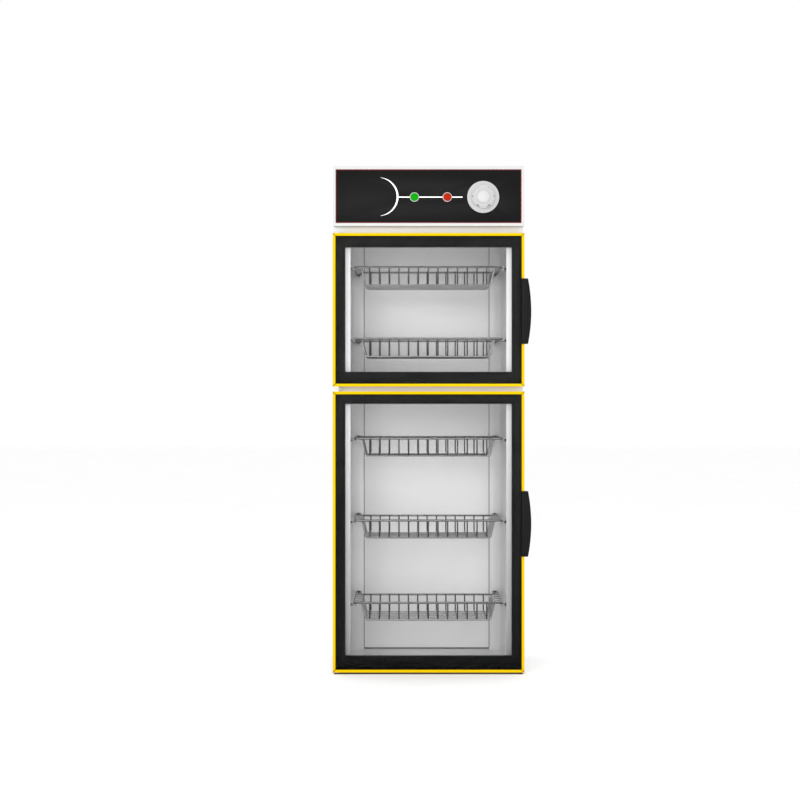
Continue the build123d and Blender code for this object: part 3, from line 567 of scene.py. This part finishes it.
def doors():
    for which in DOORS:
        dress(which + "_door_trim", "trim", 0.7 * MM, 3)
        dress(which + "_door_inner_frame", "door_frame", 0.5 * MM)
        dress(which + "_door_glass", "glass")
        dress(which + "_door_gasket", "gasket", 1.2 * MM, 3)
        dress(which + "_door_bushes", "bush", 0.3 * MM)
        dress(which + "_door_handle", "handle", 0.9 * MM, 3)
        dress(which + "_handle_screws", "screw", 0.3 * MM)
        trim_joints(which)


def controls():
    dress("lamp_rings", "lamp_ring", 0.5 * MM, 3)
    dress("green_lamp_lens", "green_lens", 0.5 * MM, 3)
    dress("red_lamp_lens", "red_lens", 0.5 * MM, 3)
    dress("timer_knob", "knob", 0.9 * MM, 3)
    dress("knob_cap", "knob_cap", 0.6 * MM, 3)
    dress("timer_shaft", "steel_part")
    fascia_print()
    knob_marks()
    knob_grooves()


# ------------------------------------------------------------------ thin marks and beads

PRINT_DEPTH, GROOVE_DEPTH = 0.12 * MM, 0.1 * MM

# The white print on the fascia: a rule behind the lamps and a crescent at its left end.
RULE_LEFT, RULE_RIGHT, RULE_HALF = -97.0 * MM, 106.5 * MM, 1.6 * MM
CRESCENT_CENTRE, CRESCENT_RADIUS = (-157.0 * MM, 1494.6 * MM), 60.0 * MM
CRESCENT_HALF_ANGLE, CRESCENT_STEPS = 83, 48
CRESCENT_TIP, CRESCENT_SWELL = 0.2 * MM, 2.5 * MM

# The knob's face: all but the line round the cap lies on the face outside the raised ring. The
# cap's line is open by a tenth of a degree, so that its plate has one outline.
KNOB_RING_HEIGHT = 1.5 * MM
KNOB_MARK_REACH, KNOB_GROOVE_REACH, CAP_GROOVE_GAP = 31.5 * MM, 32.2 * MM, 0.6 * MM
KNOB_GROOVE_HALF = 0.45 * MM
KNOB_MARKS = (      # degrees round the knob, half length, half width in millimetres
    (62, 1.3, 1.3), (118, 1.3, 1.3),
    # The marks at 237 and 303 degrees are painted shade on the finger slots' floors.
    (237, 3.6, 1.7), (303, 3.6, 1.7),
    (2, 1.1, 2.4), (178, 1.1, 2.4),
)
KNOB_GROOVES = ((8, 56), (124, 172), (188, 229), (311, 352), (247, 293))    # degrees
CAP_GROOVE = (0, 359.9)

SEAM_HALF, SEAM_DEPTH = 1.1 * MM, 0.5 * MM
MITRE_LENGTH, MITRE_HALF = 8.6 * MM, 0.7 * MM


def slab(form, outline, front, depth):
    """A thin closed plate over an outline of (x, z) points, standing out from a face at y front."""
    near = [form.verts.new((x, front - depth, z)) for x, z in outline]
    far = [form.verts.new((x, front, z)) for x, z in outline]
    form.faces.new(near)
    form.faces.new(far[::-1])
    count = len(outline)
    for i in range(count):
        j = (i + 1) % count
        form.faces.new((near[j], near[i], far[i], far[j]))


def band(form, centre, radius, half_thick, span, steps, front, depth):
    """A thin closed plate along an arc; half_thick gives half its width at a turn."""
    start, stop = span
    outer, inner = [], []
    for i in range(steps + 1):
        turn = math.radians(start + (stop - start) * i / steps)
        for ring, r in ((outer, radius + half_thick(turn)), (inner, radius - half_thick(turn))):
            ring.append((centre[0] + r * math.cos(turn), centre[1] + r * math.sin(turn)))
    slab(form, outer + inner[::-1], front, depth)


def plates(name, outlines, front, depth, finish, body, slot):
    """Thin plates over outlines of (x, z) points as one piece."""
    form = bmesh.new()
    for outline in outlines:
        slab(form, outline, front, depth)
    formed(name, form, finish, body, slot)


def rectangle(x0, x1, z0, z1):
    return [(x0, z0), (x1, z0), (x1, z1), (x0, z1)]


def fascia_print():
    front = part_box("control_fascia")[0].y
    form = bmesh.new()
    rule = rectangle(RULE_LEFT, RULE_RIGHT, CONTROL_Z - RULE_HALF, CONTROL_Z + RULE_HALF)
    slab(form, rule, front, PRINT_DEPTH)

    def half_thick(turn):
        return CRESCENT_TIP + CRESCENT_SWELL * math.cos(turn) ** 1.2

    band(form, CRESCENT_CENTRE, CRESCENT_RADIUS, half_thick,
         (-CRESCENT_HALF_ANGLE, CRESCENT_HALF_ANGLE), CRESCENT_STEPS, front, PRINT_DEPTH)
    formed("fascia_print", form, "ink_with_painted_glow", "cabinet", "bezel")


def oval(centre, half_long, half_wide, turn, points=16):
    """The outline of an oval whose long way is at a turn."""
    outline = []
    for i in range(points):
        a = 2 * math.pi * i / points
        u, v = half_long * math.cos(a), half_wide * math.sin(a)
        outline.append((centre[0] + u * math.cos(turn) - v * math.sin(turn),
                        centre[1] + u * math.sin(turn) + v * math.cos(turn)))
    return outline


def knob_marks():
    """The two pointer dots, painted shade on the finger slots' floors, and the marks at the sides.
    """
    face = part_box("timer_knob")[0].y + KNOB_RING_HEIGHT
    outlines = []
    for degrees, half_long, half_wide in KNOB_MARKS:
        turn = math.radians(degrees)
        centre = (KNOB_X + KNOB_MARK_REACH * math.cos(turn),
                  CONTROL_Z + KNOB_MARK_REACH * math.sin(turn))
        outlines.append(oval(centre, half_long * MM, half_wide * MM, turn + math.pi / 2))
    plates("knob_marks", outlines, face, PRINT_DEPTH, "knob_mark_and_slot_shade", "timer_knob", "knob")


def knob_grooves():
    """The dark line round the cap and the broken one further out."""
    ring_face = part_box("timer_knob")[0].y
    low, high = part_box("knob_cap")
    cap_radius = (high.x - low.x) / 2
    grooves = [(cap_radius + CAP_GROOVE_GAP, ring_face, CAP_GROOVE)]
    grooves += [(KNOB_GROOVE_REACH, ring_face + KNOB_RING_HEIGHT, span) for span in KNOB_GROOVES]
    form = bmesh.new()
    for radius, face, span in grooves:
        band(form, (KNOB_X, CONTROL_Z), radius, lambda turn: KNOB_GROOVE_HALF, span, 36, face,
             GROOVE_DEPTH)
    formed("knob_grooves", form, "knob_groove", "timer_knob", "knob")


def liner_seams():
    """Beads of sealant where the back liners meet the round corners, made dark with painted seam
    shade.
    """
    low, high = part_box("back_liners")
    lower_top, upper_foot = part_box("chamber_ceilings")[0].z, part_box("chamber_floors")[1].z
    plates("liner_seams", [
        rectangle(x - SEAM_HALF, x + SEAM_HALF, z0, z1)
        for x in (low.x, high.x) for z0, z1 in ((low.z, lower_top), (upper_foot, high.z))
    ], low.y, SEAM_DEPTH, "sealant_and_seam_shade", "cabinet", "gasket")


def trim_joints(which):
    """The dark line of each mitre in a door's edge trim."""
    low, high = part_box(which + "_door_trim")
    length, half = MITRE_LENGTH, MITRE_HALF
    outlines = []
    for x, inwards in ((low.x, 1), (high.x, -1)):
        for z, upwards in ((low.z, 1), (high.z, -1)):
            outlines.append([
                (x + inwards * (a + b), z + upwards * (a - b))
                for a, b in ((half, half), (length, half), (length, -half), (half, -half))
            ])
    plates(which + "_trim_joints", outlines, low.y, GROOVE_DEPTH, "joint", which + "_door",
           "door_frame")


# ------------------------------------------------------------------ wire racks

RIM_WIRE, FRONT_RAIL, BASKET_WIRE = 6.0 * MM, 6.8 * MM, 4.4 * MM
EAR_WIDTH, EAR_BEND, BASKET_BEND = 15.0 * MM, 7.45 * MM, 8.5 * MM
LONG_WIRES, LONG_PITCH = 13, 30.9 * MM
CROSS_WIRES, CROSS_SETBACK = 5, 12.0 * MM
CROSS_TOP_HALF, CROSS_FOOT_HALF = 211.0 * MM, 197.6 * MM
WELD_GAP = 0.05 * MM
RAIL_PAST_RIM = 0.5 * MM
RAIL_END = ((0.0, 1.6), (1.5, 2.4), (14.0, 3.4))    # millimetres from the end, radius there
STUD_DROP, STUD_SETBACK, LINER_SHEET = 5.8 * MM, 8.0 * MM, 1.0 * MM
STUD_PROFILE = (    # millimetres from the wall, radius there
    (0, 0), (0, 12), (0.5, 11.9), (1.5, 9.6), (3.0, 7.4), (5, 5.4), (8, 3.3), (11, 2.5),
    (18.8, 2.5), (19.0, 3.9), (19.3, 4.2), (21.6, 4.2), (22, 3.9), (22, 0),
)
WIRE_SIDES, THIN_SIDES, RAIL_SIDES, STUD_SIDES, BEND_STEPS = 16, 12, 20, 28, 6


def wire_tree():
    """Wires along a path with rounded bends, set side by side."""
    tree = bpy.data.node_groups.new("wires_in_a_row", "GeometryNodeTree")
    face = tree.interface
    face.new_socket("Path", in_out="INPUT", socket_type="NodeSocketGeometry")
    for name, kind, value in (
        ("Wire Diameter", "NodeSocketFloat", 0.004), ("Bend Radius", "NodeSocketFloat", 0.008),
        ("Sides", "NodeSocketInt", WIRE_SIDES), ("Bend Steps", "NodeSocketInt", BEND_STEPS),
        ("Wires", "NodeSocketInt", 1), ("Step", "NodeSocketVector", (0, 0, 0)),
    ):
        face.new_socket(name, in_out="INPUT", socket_type=kind).default_value = value
    face.new_socket("Finish", in_out="INPUT", socket_type="NodeSocketMaterial")
    face.new_socket("Wire", in_out="OUTPUT", socket_type="NodeSocketGeometry")
    add, link = tree.nodes.new, tree.links.new
    source, end = add("NodeGroupInput"), add("NodeGroupOutput")

    route = add("GeometryNodeMeshToCurve")
    link(source.outputs["Path"], route.inputs["Mesh"])
    bends = add("GeometryNodeFilletCurve")
    bends.mode = "POLY"
    bends.inputs["Limit Radius"].default_value = True
    link(route.outputs["Curve"], bends.inputs["Curve"])
    link(source.outputs["Bend Radius"], bends.inputs["Radius"])
    link(source.outputs["Bend Steps"], bends.inputs["Count"])
    section = add("GeometryNodeCurvePrimitiveCircle")
    link(source.outputs["Sides"], section.inputs["Resolution"])
    half = add("ShaderNodeMath")
    half.operation = "MULTIPLY"
    half.inputs[1].default_value = 0.5
    link(source.outputs["Wire Diameter"], half.inputs[0])
    link(half.outputs[0], section.inputs["Radius"])
    sweep = add("GeometryNodeCurveToMesh")
    sweep.inputs["Fill Caps"].default_value = True
    link(bends.outputs["Curve"], sweep.inputs["Curve"])
    link(section.outputs["Curve"], sweep.inputs["Profile Curve"])
    places = add("GeometryNodeMeshLine")
    places.mode = "OFFSET"
    link(source.outputs["Wires"], places.inputs["Count"])
    link(source.outputs["Step"], places.inputs["Offset"])
    row = add("GeometryNodeInstanceOnPoints")
    link(places.outputs["Mesh"], row.inputs["Points"])
    link(sweep.outputs["Mesh"], row.inputs["Instance"])
    real = add("GeometryNodeRealizeInstances")
    link(row.outputs["Instances"], real.inputs["Geometry"])
    painted = add("GeometryNodeSetMaterial")
    link(real.outputs["Geometry"], painted.inputs["Geometry"])
    link(source.outputs["Finish"], painted.inputs["Material"])
    link(painted.outputs["Geometry"], end.inputs["Wire"])
    return tree


WIRES = wire_tree()


def wires(path, diameter, bend, finish, count=1, step=(0, 0, 0), sides=WIRE_SIDES):
    """The mesh of a row of equal wires along a path of points."""
    mesh = bpy.data.meshes.new("path")
    mesh.from_pydata([tuple(p) for p in path], [(i, i + 1) for i in range(len(path) - 1)], [])
    maker = bpy.data.objects.new("maker", mesh)
    SCENE.collection.objects.link(maker)
    nodes = maker.modifiers.new("wires", "NODES")
    nodes.node_group = WIRES
    values = {"Wire Diameter": diameter, "Bend Radius": bend, "Sides": sides,
              "Bend Steps": BEND_STEPS, "Wires": count, "Step": step,
              "Finish": FINISHES[finish]}
    for item in WIRES.interface.items_tree:
        if item.in_out == "INPUT" and item.name in values:
            nodes[item.identifier] = values[item.name]
    return applied(maker)


def joined(name, *meshes):
    """One mesh of several."""
    form = bmesh.new()
    for mesh in meshes:
        form.from_mesh(mesh)
    result = bpy.data.meshes.new(name)
    form.to_mesh(result)
    form.free()
    return result


def smooth(mesh, angle=40):
    """The mesh shaded smooth, but for edges sharper than the angle."""
    mesh.shade_smooth()
    mesh.set_sharp_from_angle(angle=math.radians(angle))
    return mesh


def spun(profile, y, z, sides):
    """A closed turned form: (x, radius) pairs about an axis along X at y and z."""
    form = bmesh.new()
    rings = []
    for x, radius in profile:
        ring = []
        for i in range(sides if radius > 0 else 1):
            turn = 2 * math.pi * i / sides
            ring.append(form.verts.new((x, y + radius * math.cos(turn),
                                        z + radius * math.sin(turn))))
        rings.append(ring)
    for a, b in zip(rings, rings[1:]):
        for i in range(sides):
            j = (i + 1) % sides
            corners = [a[i % len(a)], a[j % len(a)], b[j % len(b)], b[i % len(b)]]
            form.faces.new(list(dict.fromkeys(corners)))
    bmesh.ops.recalc_face_normals(form, faces=form.faces)
    mesh = bpy.data.meshes.new("spun")
    form.to_mesh(mesh)
    form.free()
    return smooth(mesh)


def front_rail(half_length, front, level):
    """The rail across a rack's front, drawn down at both ends."""
    end = [(half_length - a * MM, r * MM) for a, r in RAIL_END]
    profile = [(-half_length, 0), *((-x, r) for x, r in end), *end[::-1], (half_length, 0)]
    return spun(profile, front, level, RAIL_SIDES)


def rack_rim(number, front, back, level):
    """The rim's one wire with a hairpin ear at each back corner, and the front rail."""
    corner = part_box(f"rack_{number}_rim")[1]
    side, tip = corner.x - RIM_WIRE / 2, corner.y - RIM_WIRE / 2
    inner = side - EAR_WIDTH
    rim = wires(
        [(-side, front, level), (-side, tip, level), (-inner, tip, level), (-inner, back, level),
         (inner, back, level), (inner, tip, level), (side, tip, level), (side, front, level)],
        RIM_WIRE, EAR_BEND, "rail")
    rail = front_rail(side + RAIL_PAST_RIM, front, level)
    piece(f"rack_{number}_rim_wires", smooth(joined("rim", rim, rail)), "rail",
          f"rack_{number}", f"rack_{number}_rim", slot="wire")


def rack_basket(number, front, back, level):
    """The basket: U-shaped wires from front to back over wires from side to side."""
    low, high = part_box(f"rack_{number}_basket")
    y0, y1 = low.y + BASKET_WIRE / 2, high.y - BASKET_WIRE / 2
    top = level + RIM_WIRE / 2
    under = low.z + BASKET_WIRE / 2
    bottom = under + BASKET_WIRE + WELD_GAP
    first = -(LONG_WIRES - 1) / 2 * LONG_PITCH
    long_wires = wires(
        [(first, y0, top), (first, y0, bottom), (first, y1, bottom), (first, y1, top)],
        BASKET_WIRE, BASKET_BEND, "wire", LONG_WIRES, (LONG_PITCH, 0, 0), THIN_SIDES)
    y = front + CROSS_SETBACK
    step = (back - front - 2 * CROSS_SETBACK) / (CROSS_WIRES - 1)
    cross_wires = wires(
        [(-high.x, y, level), (-CROSS_TOP_HALF, y, level), (-CROSS_FOOT_HALF, y, under),
         (CROSS_FOOT_HALF, y, under), (CROSS_TOP_HALF, y, level), (high.x, y, level)],
        BASKET_WIRE, BASKET_BEND, "cross_wire", CROSS_WIRES, (0, step, 0), THIN_SIDES)
    piece(f"rack_{number}_long_wires", smooth(long_wires), "wire", f"rack_{number}",
          f"rack_{number}_basket")
    piece(f"rack_{number}_cross_wires", smooth(cross_wires), "cross_wire", f"rack_{number}",
          slot="wire")


def racks():
    for number in RACKS:
        low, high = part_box(f"rack_{number}_rim")
        level = (low.z + high.z) / 2
        front = low.y + FRONT_RAIL / 2
        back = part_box(f"rack_{number}_basket")[1].y + RIM_WIRE / 2
        rack_rim(number, front, back, level)
        rack_basket(number, front, back, level)


def rack_supports():
    """Polished trumpet studs and plain pegs, in the places of the CAD's."""
    forms = []
    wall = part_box("side_liners")[1].x - LINER_SHEET
    for number in RACKS:
        low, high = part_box(f"rack_{number}_rim")
        level = (low.z + high.z) / 2 - STUD_DROP
        y = low.y + FRONT_RAIL / 2 + STUD_SETBACK
        for side in (-1, 1):
            profile = [(side * (wall - a * MM), r * MM) for a, r in STUD_PROFILE]
            forms.append(spun(profile, y, level, STUD_SIDES))
    piece("rack_studs_form", joined("studs", *forms), "stud", "cabinet", "rack_studs",
          slot="wire")
    dress("rack_pegs", "wire")


# ------------------------------------------------------------------ making it all

camera()
studio()
casing()
chambers()
inside_head()
doors()
controls()
racks()
rack_supports()
pale_floor()
